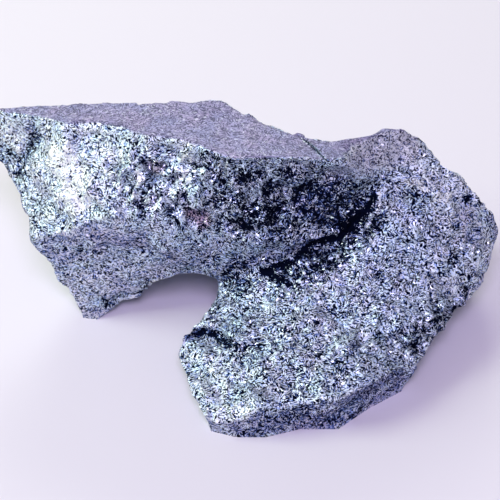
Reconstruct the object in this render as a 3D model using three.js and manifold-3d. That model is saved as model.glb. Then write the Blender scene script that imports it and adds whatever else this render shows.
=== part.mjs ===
// A lump of silicon metal, broken from a cast slab: one solid piece, in millimetres.
// X runs along the lump, Y from the front to the back, and +Z is up from the surface that it rests on.
//
// The lump has two limbs that meet at the back. The left limb is an arm with the smooth skin of the casting
// on top, a bright sloping front, and an underside that bridges from its heel to the right limb.
// The right limb is a wide block whose top is one hollow fracture face, with a thin raised nose at its left.
//
// The form is a cage of flat faces between named corners. Its faces are cut into small triangles, and each
// vertex is then pushed in or out by the relief of the surface that it lies on.

import * as THREE from "three";
import { ImprovedNoise } from "three/addons/math/ImprovedNoise.js";
import { mergeVertices } from "three/addons/utils/BufferGeometryUtils.js";
import Module from "manifold-3d";

// ---- Driving dimensions ----

// The finishes, and how far each stands in and out of its smooth form.
const CAST = { swell: 0.3, grain: 0.1, longestSide: 4 }; // the skin that cooled against the mould
const FINE = { swell: 0.9, grain: 0.6, longestSide: 3 }; // a break with small crystals
const COARSE = { swell: 1.2, grain: 1.2, longestSide: 2.9 }; // a break with large crystals
const SOLE = { swell: 0, grain: 0, longestSide: 14 }; // what the lump rests on

const SWELL_LENGTH = 9; // how long the broad swellings are
const LEDGE_WIDTH = 4.6; // how wide the crystal ledges are
const LEDGE_SLOPE = 0.7; // how steeply a ledge may tilt
const RELIEF_START = 2.5; // how high above the ground the relief is at its full size
const EASE_PASSES = 14; // how far the faces of one form are eased into each other

const CRACK_WIDTH = 0.5;
const CRACK_DEPTH = 2.4;

// ---- The corners, as [x, y, z] ----

const CORNERS = {
  // The back edge of the cast skin, from the left tip to the top of the right limb.
  crest0: [-52, 23.5, 38],
  crest1: [-37.5, 22.5, 40],
  crest2: [-21.5, 21.5, 41.5],
  crest3: [-14.5, 20.5, 41.5],
  crest4: [-9, 22, 41.5],
  crest5: [-5.5, 22.5, 41],
  crest6: [-1.5, 19, 40.5],
  crest7: [4, 15, 40.5],
  crest8: [10, 13, 40],
  crest9: [15.5, 12.5, 39.5],
  crest10: [24.5, 15.5, 38.5],
  crest11: [30, 17.5, 38],

  // The right limb's outline at the back and the right, down to the beak.
  shoulder1: [34.5, 18, 34.5],
  shoulder2: [40.5, 13.5, 30],
  shoulder3: [46, 11.5, 25],
  beak1: [49.5, 11.5, 21],
  beak2: [50, 11, 15],
  rim1: [47.5, 5, 12.5],
  rim2: [45.5, 1, 10.5],
  rim3: [40, -5.5, 8.5],
  rim4: [35.2, -12.3, 7.5],
  rim5: [32.8, -17, 6.5],

  // The front of the right limb, where it meets the ground.
  toe1: [29.8, -17.3, 0],
  toe2: [23.5, -21.5, 0],
  toe3: [17, -27, 0],
  toe4: [9.5, -27, 0],
  toe5: [3, -29, 0],
  toe6: [-2.5, -29, 0],
  toe7: [-7.5, -27.5, 0],

  // The left outline of the right limb: its nose, then the flank that runs back under the arm.
  nose1: [-8.5, -28, 5],
  nose2: [-11, -21.5, 5],
  nose3: [-14, -13, 6],
  nose4: [-13, -9.5, 8],
  flank1: [-9.5, -7.5, 9.5],
  flank2: [-7.5, -3.5, 10],
  flank3: [-7, 2, 10.5],

  // The lower front edge of the arm, from the right limb to the heel, then up the left outline.
  sill1: [-7, 2, 12],
  sill2: [-14, 3, 12],
  sill3: [-17.5, 3.5, 9],
  sill4: [-24.5, 4, 3.5],
  heel2: [-31, 2, 0],
  heel1: [-34, 2.5, 0],
  shin1: [-35.5, 2.5, 4.5],
  shin2: [-38.2, 3.5, 10],
  shin3: [-41, 3.5, 16.5],
  cheek1: [-44.5, 10, 22.5],
  cheek2: [-46.5, 15.5, 24],
  cheek3: [-50, 19.5, 26],
  cheek4: [-53, 21, 27],

  // The front edge of the cast skin.
  brow0: [-52, 23, 37.5],
  brow1: [-42.5, 19.5, 39.5],
  brow2: [-36.5, 16.5, 40.5],
  brow3: [-28, 16, 41.5],
  brow4: [-20, 11, 42],
  brow5: [-12, 9, 42.3],
  brow6: [-4.5, 4.5, 42.2],
  brow7: [9.5, 5, 41.5],
  brow8: [19, 7, 39.5],

  // The arm's front: a groove by the tip, two swellings, and the hollow by the right limb.
  groove: [-44, 19, 32],
  bulge1: [-25.5, 7.5, 36],
  bulge2: [-6.5, 3, 34],
  hollow1: [10, 7.5, 28.5],
  hollow2: [17.5, 8.5, 28.5],
  hollow3: [22.5, 9.5, 32],

  // The ridge along the arm's front, from the knee at the left to a knob at the right.
  ridge0: [-42.5, 3, 21],
  ridge1: [-37.5, 3, 23.5],
  ridge2: [-34, 3, 26.5],
  ridge3: [-27, 2, 28.5],
  ridge4: [-19.5, 1, 27],
  ridge5: [-9.5, 1, 24.5],
  ridge6: [1, 1, 23],
  knob: [9.5, 2, 22],

  // The crease where the arm's front meets the right limb's top.
  crease1: [-1, 0, 13.5],
  crease2: [3, 0.5, 15.5],
  crease3: [9.5, 3, 18],
  crease4: [18.5, 5.5, 21],
  crease5: [23.5, 8.5, 25.5],
  crease6: [26, 10, 30],

  // The hollow fracture face on top of the right limb.
  bowl1: [7, -3.5, 15],
  bowl2: [17.5, -0.5, 18.5],
  bowl3: [24.5, 3.5, 21.5],
  bowl4: [9.5, -12, 12],
  bowl5: [21.5, -8.5, 14],
  bowl6: [28, -11, 11.5],
  bowl7: [33, -3.5, 14.5],
  bowl8: [43.5, 5, 17],
  bowl9: [35.5, 7, 24.5],
  bowl10: [42.5, 9.5, 22.5],
  bowl11: [31.5, 14, 33],
  edge1: [33.5, -7.5, 11.5],
  edge2: [39.5, 0, 14.5],

  // The step from that face down to the nose.
  ledge1: [-7, -9.5, 10.5],
  ledge2: [-2, -14.5, 10.5],
  ledge3: [2.5, -20.5, 9.5],
  ledge4: [16.5, -19, 11],
  crevice1: [-7.5, -10.5, 8],
  crevice2: [-3, -15.5, 8.5],

  // The upper edge of the right limb's front.
  lip1: [-5, -29, 4],
  lip2: [0, -29, 5.5],
  lip3: [2.5, -28.5, 8],
  lip4: [9.5, -27, 8],
  lip5: [17, -26.5, 9],
  lip6: [22, -23.5, 9],
  lip7: [28, -19, 8.5],
  lip8: [33, -13, 8.5],

  // The back, which swells out below the crest and draws in again to the ground.
  belly0: [-50, 27, 30],
  belly1: [-35, 29, 21],
  belly2: [-18, 31, 25],
  belly3: [0, 29, 21],
  belly4: [18, 26, 22],
  belly5: [36, 25, 19],
  belly6: [48, 20, 9],
  keel0: [-33, 18, 3],
  keel1: [-16, 25, 3],
  keel2: [4, 25, 0],
  keel3: [22, 22, 0],
  keel4: [38, 19, 0],

  // The right limb's sole, the heel's sole, and the cave under the arm between them.
  sole1: [44, 11, 0],
  sole2: [37, -1, 0],
  sole3: [31, -10, 0],
  sole4: [-9, -20, 0],
  sole5: [-10, -12, 0],
  sole6: [-7, -6, 0],
  sole7: [-5, 4, 0],
  sole8: [-4, 12, 0],
  heel3: [-26, 8, 0],
  heel4: [-27, 14, 0],
  heel5: [-33, 10, 0],
  roof1: [-5, 8, 10],
  roof2: [-12, 11, 9],
  roof3: [-19, 12, 7],
  cave1: [-12, 17, 2],
  cave2: [-20, 17, 2],
  side: [-41, 14, 14],
};

// ---- The surfaces, each made of faces ----

// A face is a loop of corners that runs anticlockwise when seen from outside. The faces of one form are eased
// into each other, and two forms meet at a broken edge. The skin and the bowl have different finishes, but
// they are one form: the skin runs out into the bowl without an edge.
const SURFACES = [
  {
    form: "top",
    finish: CAST,
    faces: [
      "brow0 brow1 brow2 brow3 brow4 brow5 brow6 brow7 brow8 crest10 crest9 crest8 crest7 crest6 crest5 " +
        "crest4 crest3 crest2 crest1 crest0",
    ],
  },
  {
    form: "tip",
    finish: COARSE,
    faces: ["brow0 cheek4 cheek3 cheek2 groove brow1"],
  },
  {
    form: "armFront",
    finish: COARSE,
    faces: [
      "brow1 groove cheek2 cheek1 ridge0 ridge1 ridge2 ridge3 bulge1 brow3 brow2",
      "brow3 bulge1 ridge3 ridge4 ridge5 bulge2 brow6 brow5 brow4",
      "brow6 bulge2 ridge5 ridge6 knob hollow1 brow7",
      "brow7 hollow1 hollow2 brow8",
      "hollow1 knob crease4 hollow2",
      "hollow2 crease4 crease5 hollow3 brow8",
      "hollow3 crease5 crease6",
    ],
  },
  {
    form: "armUnderFront",
    finish: FINE,
    faces: [
      "ridge0 shin3 shin2 shin1 heel1 heel2 sill4 sill3 ridge4 ridge3 ridge2 ridge1",
      "ridge4 sill3 sill2 ridge5",
      "ridge5 sill2 sill1 crease1 crease2 crease3 crease4 knob ridge6",
    ],
  },
  {
    form: "top",
    finish: FINE,
    faces: [
      "crease3 crease2 bowl1 bowl2 bowl3 crease6 crease5 crease4",
      "sill1 flank3 flank2 flank1 ledge1 ledge2 bowl4 bowl1 crease2 crease1",
      "ledge2 crevice2 ledge3 lip3 lip4 lip5 ledge4 bowl4",
      "bowl4 ledge4 lip5 lip6 lip7 bowl6 bowl5",
      "bowl1 bowl4 bowl5 bowl2",
      "bowl2 bowl5 bowl6 bowl7 bowl3",
      "bowl6 lip7 lip8 edge1 bowl7",
      "bowl3 bowl7 bowl8 bowl9 bowl11 crease6",
      "brow8 hollow3 crease6 bowl11 crest11 crest10",
      "crest11 bowl11 bowl9 bowl10 shoulder3 shoulder2 shoulder1",
      "bowl9 bowl8 bowl10",
      "bowl10 bowl8 rim1 beak2 beak1 shoulder3",
      "bowl7 edge1 edge2 bowl8",
    ],
  },
  {
    form: "rim",
    finish: COARSE,
    faces: [
      "bowl8 edge2 rim3 rim2 rim1",
      "edge2 edge1 rim4 rim3",
      "edge1 lip8 rim5 rim4",
    ],
  },
  {
    form: "noseStep",
    finish: COARSE,
    faces: ["flank1 nose4 crevice1 crevice2 ledge2 ledge1"],
  },
  {
    form: "noseTop",
    finish: COARSE,
    faces: ["nose4 nose3 nose2 nose1 lip1 lip2 lip3 ledge3 crevice2 crevice1"],
  },
  {
    form: "blockFront",
    finish: FINE,
    faces: [
      "nose1 toe7 toe6 toe5 lip3 lip2 lip1",
      "lip3 toe5 toe4 toe3 lip5 lip4",
      "lip5 toe3 toe2 toe1 lip7 lip6",
      "lip7 toe1 rim5 lip8",
    ],
  },
  {
    form: "blockRight",
    finish: COARSE,
    faces: [
      "belly6 beak2 rim1 rim2 sole1",
      "rim2 rim3 sole2 sole1",
      "rim3 rim4 sole3 sole2",
      "rim4 rim5 toe1 sole3",
    ],
  },
  {
    form: "upperBack",
    finish: COARSE,
    faces: [
      "crest0 crest1 crest2 belly2 belly1 belly0",
      "crest2 crest3 crest4 crest5 crest6 crest7 belly3 belly2",
      "crest7 crest8 crest9 crest10 belly4 belly3",
      "crest10 crest11 shoulder1 shoulder2 shoulder3 belly5 belly4",
      "shoulder3 beak1 beak2 belly6 belly5",
    ],
  },
  {
    form: "lowerBack",
    finish: COARSE,
    faces: [
      "belly1 belly2 keel1 keel0",
      "belly2 belly3 keel2 keel1",
      "belly3 belly4 keel3 keel2",
      "belly4 belly5 keel4 keel3",
      "belly5 belly6 sole1 keel4",
    ],
  },
  {
    form: "blockLeft",
    finish: COARSE,
    faces: [
      "toe7 nose1 nose2 sole4",
      "sole4 nose2 nose3 sole5",
      "sole5 nose3 nose4 flank1 sole6",
      "sole6 flank1 flank2 flank3 sole7",
      "sole7 flank3 sill1 roof1 sole8",
    ],
  },
  {
    form: "cave",
    finish: COARSE,
    faces: [
      "sill1 sill2 roof2 roof1",
      "sill2 sill3 sill4 roof3 roof2",
      "sill4 heel2 heel3 roof3",
      "roof3 heel3 heel4 cave2",
      "roof2 roof3 cave2 cave1",
      "roof1 roof2 cave1 sole8",
    ],
  },
  {
    form: "arch",
    finish: COARSE,
    faces: [
      "sole8 cave1 keel1 keel2",
      "cave1 cave2 keel0 keel1",
      "cave2 heel4 heel5 keel0",
    ],
  },
  {
    form: "armLeft",
    finish: COARSE,
    faces: [
      "heel5 heel1 shin1 shin2 side",
      "shin2 shin3 ridge0 cheek1 side",
      "cheek1 cheek2 cheek3 cheek4 belly0 side",
      "side belly0 belly1 keel0 heel5",
    ],
  },
  {
    form: "tipEnd",
    finish: COARSE,
    faces: ["cheek4 brow0 crest0 belly0"],
  },
  {
    form: "blockSole",
    finish: SOLE,
    faces: [
      "keel2 keel3 keel4 sole1 sole2 sole3 toe1 toe2 toe3 toe4 toe5 toe6 toe7 sole4 sole5 sole6 sole7 sole8",
    ],
  },
  {
    form: "heelSole",
    finish: SOLE,
    faces: ["heel5 heel4 heel3 heel2 heel1"],
  },
];

// ---- From faces to small triangles ----

const names = Object.keys(CORNERS);
let points = names.map((name) => new THREE.Vector3(...CORNERS[name]));

// Newell's normal, which holds for a loop that isn't quite flat.
function loopNormal(loop) {
  const normal = new THREE.Vector3();
  loop.forEach((index, i) => {
    const a = points[index];
    const b = points[loop[(i + 1) % loop.length]];
    normal.x += (a.y - b.y) * (a.z + b.z);
    normal.y += (a.z - b.z) * (a.x + b.x);
    normal.z += (a.x - b.x) * (a.y + b.y);
  });
  return normal.normalize();
}

// Cuts a loop into triangles in the plane that it lies nearest to.
function cutFace(loop, surface) {
  const normal = loopNormal(loop);
  const along = points[loop[1]].clone().sub(points[loop[0]]);
  along.addScaledVector(normal, -along.dot(normal)).normalize();
  const across = normal.clone().cross(along);
  const flat = loop.map(
    (i) => new THREE.Vector2(points[i].dot(along), points[i].dot(across)),
  );
  return THREE.ShapeUtils.triangulateShape(flat, []).map((triangle) => ({
    corners: triangle.map((i) => loop[i]),
    surface,
  }));
}

let triangles = SURFACES.flatMap((surface) =>
  surface.faces.flatMap((face) =>
    cutFace(
      face.split(" ").map((name) => names.indexOf(name)),
      surface,
    ),
  ),
);

// Every side that is too long for a surface that it borders.
const sideKey = (a, b) => (a < b ? `${a},${b}` : `${b},${a}`);
const sideEnds = (key) => key.split(",").map((index) => points[index]);

function longSides() {
  const long = new Set();
  for (const { corners, surface } of triangles)
    corners.forEach((a, i) => {
      const key = sideKey(a, corners[(i + 1) % 3]);
      const [start, end] = sideEnds(key);
      if (start.distanceTo(end) > surface.finish.longestSide) long.add(key);
    });
  return long;
}

// Cuts a triangle at the middles of its long sides, from the side that leaves the shortest cut.
function splitTriangle({ corners, surface }, middles) {
  const [a, b, c] = corners;
  const middle = [sideKey(a, b), sideKey(b, c), sideKey(c, a)].map((key) =>
    middles.get(key),
  );
  const made = (...loops) => loops.map((loop) => ({ corners: loop, surface }));
  const cuts = middle.filter((m) => m !== undefined).length;
  if (cuts === 0) return made(corners);
  if (cuts === 3) {
    const [ab, bc, ca] = middle;
    return made([a, ab, ca], [ab, b, bc], [ca, bc, c], [ab, bc, ca]);
  }
  // The corners are turned so that the one cut, or the first of two cuts, lies on the first side.
  const turn = [0, 1, 2].find(
    (i) =>
      middle[i] !== undefined && (cuts === 1 || middle[(i + 1) % 3] !== undefined),
  );
  const [p, q, r] = [0, 1, 2].map((i) => corners[(i + turn) % 3]);
  const pq = middle[turn];
  if (cuts === 1) return made([p, pq, r], [pq, q, r]);
  const qr = middle[(turn + 1) % 3];
  return points[p].distanceTo(points[qr]) < points[pq].distanceTo(points[r])
    ? made([pq, q, qr], [p, pq, qr], [p, qr, r])
    : made([pq, q, qr], [p, pq, r], [pq, qr, r]);
}

// The angle at a point between two others.
function angleAt(tip, a, b) {
  const toA = points[a].clone().sub(points[tip]);
  const toB = points[b].clone().sub(points[tip]);
  return toA.angleTo(toB);
}

// Turns the side between two triangles of one surface where that makes them less thin, which is where the two
// angles that face the side add up to more than half a turn. Says whether it turned any.
function turnSides() {
  const owners = new Map();
  triangles.forEach(({ corners }, index) =>
    corners.forEach((a, i) => {
      const key = sideKey(a, corners[(i + 1) % 3]);
      owners.set(key, [...(owners.get(key) ?? []), index]);
    }),
  );
  const changed = new Set();
  for (const [first, second] of owners.values()) {
    if (changed.has(first) || changed.has(second)) continue;
    const { corners, surface } = triangles[first];
    if (triangles[second].surface !== surface) continue;
    const turn = corners.findIndex((c) => !triangles[second].corners.includes(c));
    const [c, a, b] = [0, 1, 2].map((i) => corners[(i + turn) % 3]);
    const d = triangles[second].corners.find((corner) => !corners.includes(corner));
    if (owners.has(sideKey(c, d))) continue;
    if (angleAt(c, a, b) + angleAt(d, a, b) < Math.PI + 0.01) continue;
    triangles[first] = { corners: [c, a, d], surface };
    triangles[second] = { corners: [c, d, b], surface };
    changed.add(first).add(second);
  }
  return changed.size > 0;
}

function cutLongSides(long) {
  const middles = new Map();
  for (const key of long) {
    const [start, end] = sideEnds(key);
    middles.set(key, points.length);
    points.push(start.clone().lerp(end, 0.5));
  }
  triangles = triangles.flatMap((t) => splitTriangle(t, middles));
}

for (let long = longSides(); long.size > 0; long = longSides()) {
  cutLongSides(long);
  while (turnSides());
}

// ---- The faces of one form are eased into each other ----

// What meets at each point: its neighbours, the forms and the finishes.
const neighbours = points.map(() => new Set());
const forms = points.map(() => new Set());
const finishes = points.map(() => new Set());
for (const { corners, surface } of triangles)
  corners.forEach((a, i) => {
    neighbours[a].add(corners[(i + 1) % 3]).add(corners[(i + 2) % 3]);
    forms[a].add(surface.form);
    finishes[a].add(surface.finish);
  });

// Halfway to the middle of the neighbours, unless the point lies on a broken edge.
function eased(point, index) {
  if (forms[index].size > 1) return point;
  const around = [...neighbours[index]];
  const middle = new THREE.Vector3();
  for (const i of around) middle.addScaledVector(points[i], 1 / around.length);
  return middle.lerp(point, 0.5);
}

for (let pass = 0; pass < EASE_PASSES; pass++) points = points.map(eased);

// ---- The relief ----

const perlin = new ImprovedNoise();

// Broad swellings push a point in all three directions, so that a broken edge wanders as well.
function swelling(p) {
  const push = new THREE.Vector3();
  for (const [octave, share] of [
    [1, 1],
    [2.3, 0.55],
  ]) {
    const q = p.clone().multiplyScalar(octave / SWELL_LENGTH);
    push.x += share * perlin.noise(q.x + 5.2, q.y + 1.3, q.z + 8.7);
    push.y += share * perlin.noise(q.x + 15.4, q.y + 11.8, q.z + 3.1);
    push.z += share * perlin.noise(q.x + 25.9, q.y + 21.5, q.z + 6.6);
  }
  return push;
}

// A repeatable number from 0 to 1 for a whole-number cell.
function cellNumber(cell, which) {
  const [i, j, k] = cell;
  const n = Math.sin(i * 127.1 + j * 311.7 + k * 74.7 + which * 53.3) * 43758.5453;
  return n - Math.floor(n);
}

const cellVector = (cell, which) =>
  new THREE.Vector3(...[0, 1, 2].map((i) => cellNumber(cell, which + i)));

// Crystal ledges: a point belongs to the nearest seed, and each seed's cell is a small tilted plane.
function ledge(p) {
  const q = p.clone().divideScalar(LEDGE_WIDTH);
  const around = [-1, 0, 1];
  let nearest = Infinity;
  let height = 0;
  for (const i of around)
    for (const j of around)
      for (const k of around) {
        const cell = [Math.floor(q.x) + i, Math.floor(q.y) + j, Math.floor(q.z) + k];
        const off = q.clone().sub(new THREE.Vector3(...cell)).sub(cellVector(cell, 0));
        if (off.length() >= nearest) continue;
        nearest = off.length();
        const tilt = cellVector(cell, 3).subScalar(0.5);
        height = 2 * LEDGE_SLOPE * off.dot(tilt) + cellNumber(cell, 6) - 0.5;
      }
  return height;
}

// The ledges move a point along the mean normal of its triangles, and half as far on a broken edge. Where
// finishes meet, the quietest holds. Just above the ground the relief fades out, so that nothing reaches below
// the soles.
const outward = points.map(() => new THREE.Vector3());
for (const { corners } of triangles) {
  const [a, b, c] = corners.map((i) => points[i]);
  const normal = b.clone().sub(a).cross(c.clone().sub(a));
  for (const i of corners) outward[i].add(normal);
}
const roughened = points.map((point, index) => {
  const quietest = [...finishes[index]].sort((a, b) => a.grain - b.grain)[0];
  const fade = Math.min(1, point.z / RELIEF_START);
  const grain = forms[index].size > 1 ? quietest.grain / 2 : quietest.grain;
  return point
    .clone()
    .addScaledVector(swelling(point), fade * quietest.swell)
    .addScaledVector(outward[index].normalize(), fade * grain * ledge(point));
});

// ---- The crack in the cast skin, a narrow crooked slot from the crest to the brow ----

const CRACK_PATH = [
  [9.4, 14.6],
  [10.4, 11.6],
  [12.2, 9.6],
  [13.4, 7.2],
  [14.2, 6.2],
];
const CRACK_TOP = 44; // above the skin

function crackCutter() {
  const left = CRACK_PATH.map(([x, y]) => new THREE.Vector2(x, y));
  const right = CRACK_PATH.slice(1, -1).map(
    ([x, y]) => new THREE.Vector2(x + CRACK_WIDTH, y + 0.3 * CRACK_WIDTH),
  );
  const outline = new THREE.Shape([...left, ...right.reverse()]);
  const depth = CRACK_TOP - CORNERS.crest8[2] + CRACK_DEPTH;
  return new THREE.ExtrudeGeometry(outline, {
    depth,
    bevelEnabled: false,
  }).translate(0, 0, CRACK_TOP - depth);
}

const wasm = await Module();
wasm.setup();

function solidOf(geometry) {
  geometry.deleteAttribute("normal");
  geometry.deleteAttribute("uv");
  const merged = mergeVertices(geometry, 1e-4);
  return new wasm.Manifold(
    new wasm.Mesh({
      numProp: 3,
      vertProperties: merged.attributes.position.array,
      triVerts: new Uint32Array(merged.index.array),
    }),
  );
}

function geometryOf(solid) {
  const mesh = solid.getMesh();
  return new THREE.BufferGeometry()
    .setAttribute("position", new THREE.BufferAttribute(mesh.vertProperties, 3))
    .setIndex(new THREE.BufferAttribute(mesh.triVerts, 1));
}

const rough = new THREE.BufferGeometry()
  .setFromPoints(roughened)
  .setIndex(triangles.flatMap((t) => t.corners));
const lumpGeometry = geometryOf(
  solidOf(rough).subtract(solidOf(crackCutter())),
);

// The origin is the middle of the lump's footprint box, on the surface that it rests on.
lumpGeometry.computeBoundingBox();
const { min, max } = lumpGeometry.boundingBox;
lumpGeometry.translate(-(min.x + max.x) / 2, -(min.y + max.y) / 2, -min.z);
lumpGeometry.computeVertexNormals();

// ---- The part ----

const siliconMetal = new THREE.MeshStandardMaterial({
  color: 0x8d93a8,
  roughness: 0.38,
  metalness: 1,
});

const lump = new THREE.Mesh(lumpGeometry, siliconMetal);
lump.name = "lump";

const part = new THREE.Group();
part.add(lump);

export default part;
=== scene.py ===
# %% [markdown]
# # A lump of silicon metal
#
# Silicon metal is poured as a flat slab and broken up with hammers. The lump keeps a piece of the
# slab's smooth, matte skin on top, and every other side is a fresh break: thousands of small crystal
# blades that each throw the light another way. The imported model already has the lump's form, its big
# ledges and the crack in its skin. This lesson adds what is smaller than about two millimetres, and the
# finish.

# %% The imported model

import math

import bmesh
import bpy
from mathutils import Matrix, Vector, noise


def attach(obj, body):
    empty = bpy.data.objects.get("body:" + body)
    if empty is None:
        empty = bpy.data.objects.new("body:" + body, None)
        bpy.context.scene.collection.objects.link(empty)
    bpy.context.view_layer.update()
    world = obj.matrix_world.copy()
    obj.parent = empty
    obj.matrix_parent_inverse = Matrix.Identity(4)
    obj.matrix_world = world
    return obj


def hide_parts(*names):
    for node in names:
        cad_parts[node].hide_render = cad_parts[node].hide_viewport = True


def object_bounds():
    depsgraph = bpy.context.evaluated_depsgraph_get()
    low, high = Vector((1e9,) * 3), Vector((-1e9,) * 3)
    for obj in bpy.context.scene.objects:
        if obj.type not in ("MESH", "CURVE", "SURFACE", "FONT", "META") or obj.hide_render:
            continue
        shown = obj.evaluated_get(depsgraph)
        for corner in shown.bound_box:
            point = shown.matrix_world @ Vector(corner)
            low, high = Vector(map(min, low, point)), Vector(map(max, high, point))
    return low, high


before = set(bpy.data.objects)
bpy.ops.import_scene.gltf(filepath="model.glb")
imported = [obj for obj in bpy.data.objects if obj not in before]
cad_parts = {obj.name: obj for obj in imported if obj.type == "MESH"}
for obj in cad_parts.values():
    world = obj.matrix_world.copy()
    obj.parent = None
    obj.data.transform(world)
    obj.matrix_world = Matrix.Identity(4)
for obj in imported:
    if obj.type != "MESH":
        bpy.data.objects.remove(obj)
cad_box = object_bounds()
MM = 0.001
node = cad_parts["lump"]
print("packed lump:", len(node.data.polygons), "triangles, box in metres:", cad_box)

# %% [markdown]
# ## Measuring helpers
#
# Many small features lie along a line on the surface: the crack, a groove, a stain. One helper tells
# how far a point is from such a line, and another turns a distance into a soft share between 0 and 1.

# %% Distances and soft steps


def clamp(value, low, high):
    """The value, or the limit that it has passed."""
    return max(low, min(high, value))


def ramp(value, low, high):
    """A smooth step from 0 at low to 1 at high."""
    share = clamp((value - low) / (high - low), 0.0, 1.0)
    return share * share * (3 - 2 * share)


def distance_to(path, point):
    """How far a point is from a line through the path's points."""
    nearest = (point - path[0]).length
    for start, end in zip(path, path[1:]):
        along = end - start
        share = clamp((point - start).dot(along) / along.length_squared, 0.0, 1.0)
        nearest = min(nearest, (point - start - along * share).length)
    return nearest


print("a quarter of the way up a ramp:", ramp(0.25, 0.0, 1.0))

# %% Lines on the surface


def path_of(*places_mm):
    """Points in metres from points in millimetres."""
    return [Vector(place) * MM for place in places_mm]


def nearness(path, reach, core, point):
    """1 within the core share of the reach around a path, and 0 beyond the reach."""
    span = sum((end - start).length for start, end in zip(path, path[1:]))
    if (point - path[0]).length > span + reach:
        return 0.0
    return 1 - ramp(distance_to(path, point), core * reach, reach)


CRACK = path_of((11.3, 13.8, 0), (12.4, 10.8, 0), (14.2, 8.8, 0), (15.3, 6.4, 0), (15.9, 5.3, 0))
CRACK_REACH = 0.8 * MM
CRACK_FOOT = 34 * MM


def near_crack(vert, reach):
    """Whether a point is near the crack, seen from above."""
    return vert.co.z > CRACK_FOOT and distance_to(CRACK, Vector((*vert.co.to_2d(), 0))) < reach


print("the crack runs for", sum((b - a).length for a, b in zip(CRACK, CRACK[1:])) / MM, "mm")

# %% [markdown]
# ## A finer net
#
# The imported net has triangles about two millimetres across, which is too coarse for crystals. Its
# triangles come loose, so a copy is merged first. Cutting each side in four gives sixteen small
# triangles for each old one. A voxel remesh would also give an even net, but it would close the crack,
# which is half a millimetre wide. A few rounds of smoothing then take away the corners of the old
# triangles. The soles stay where they are, so that the lump still stands flat, and so do the walls of
# the crack.

# %% A merged copy, cut fine

ATTRIBUTES = ("skin", "plain", "bold", "light", "stain")
SAME_PLACE = 0.001 * MM
SOLE_TOP = 0.01 * MM
SMOOTH_ROUNDS = 3


def smooth(mesh_net, points, rounds):
    """Moves each point towards the middle of its neighbours, some rounds in a row."""
    for _ in range(rounds):
        bmesh.ops.smooth_vert(
            mesh_net,
            verts=points,
            factor=0.5,
            use_axis_x=True,
            use_axis_y=True,
            use_axis_z=True,
        )


net = bmesh.new()
net.from_mesh(node.data)
layers = {name: net.verts.layers.float.new(name) for name in ATTRIBUTES}
bmesh.ops.remove_doubles(net, verts=net.verts, dist=SAME_PLACE)
bmesh.ops.subdivide_edges(net, edges=net.edges, cuts=3, use_grid_fill=True)
free = [v for v in net.verts if v.co.z > SOLE_TOP and not near_crack(v, CRACK_REACH)]
smooth(net, free, SMOOTH_ROUNDS)
net.normal_update()
net.verts.index_update()
print("fine net:", len(net.faces), "triangles,", len(free), "points that may move")

# %% [markdown]
# ## A calm copy
#
# What a place looks like depends on the big form around it: which way it faces, and whether it is on a
# ridge or in a hollow. A copy that is smoothed many times has lost its ledges and keeps only the big
# form. Its normals say which way a place faces, and the gap between a point and its calm twin says how
# far it stands out.

# %% The calm copy's normals and heights

CALM_ROUNDS = 10


def compare_with_calm(rounds):
    """The normals of a smoothed copy, and how far each point stands out from it in millimetres."""
    calm = net.copy()
    smooth(calm, calm.verts, rounds)
    calm.normal_update()
    normals = [twin.normal.copy() for twin in calm.verts]
    heights = [
        (vert.co - twin.co).dot(twin.normal) / MM for vert, twin in zip(net.verts, calm.verts)
    ]
    calm.free()
    return normals, heights


facing, stand = compare_with_calm(CALM_ROUNDS)
print("stands out by", min(stand), "to", max(stand), "mm")

# %% [markdown]
# ## Zones
#
# Five numbers are kept on each point as attributes, for the relief here and for the material later.
#
# - *skin* is 1 on the cast skin.
# - *plain* is 1 on the steep faces near the ground. They split along one plane, and look even and dull.
#   The material also gives them a painted shade, a little darker and more violet.
# - *bold* is 1 where the metal tore in coarse, upright clumps: on the arm's front, at its ragged lower
#   edge and along the rim of the wide face.
# - *light* is mostly painted light and shade: it makes the crystals of a place brighter where light
#   falls on them and darker in shade, in hollows and creases, with some tone that differs at random.
# - *stain* is 1 where a trace of slag has left a brown bloom.
#
# A painter would brush them on by hand. Here a brush stroke is a line on the surface with a reach to
# each side, and a change of the number, so that every stroke can be read and moved.

# %% Strokes for the kinds of surface

STROKE_CORE = 0.4


def stroke(change, reach_mm, *places_mm):
    """A line of points, how far it reaches to each side, and how much it changes there."""
    return path_of(*places_mm), reach_mm * MM, change


def sum_of(strokes, core, point):
    """What a list of strokes adds up to at a point."""
    return sum(change * nearness(path, reach, core, point) for path, reach, change in strokes)


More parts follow.
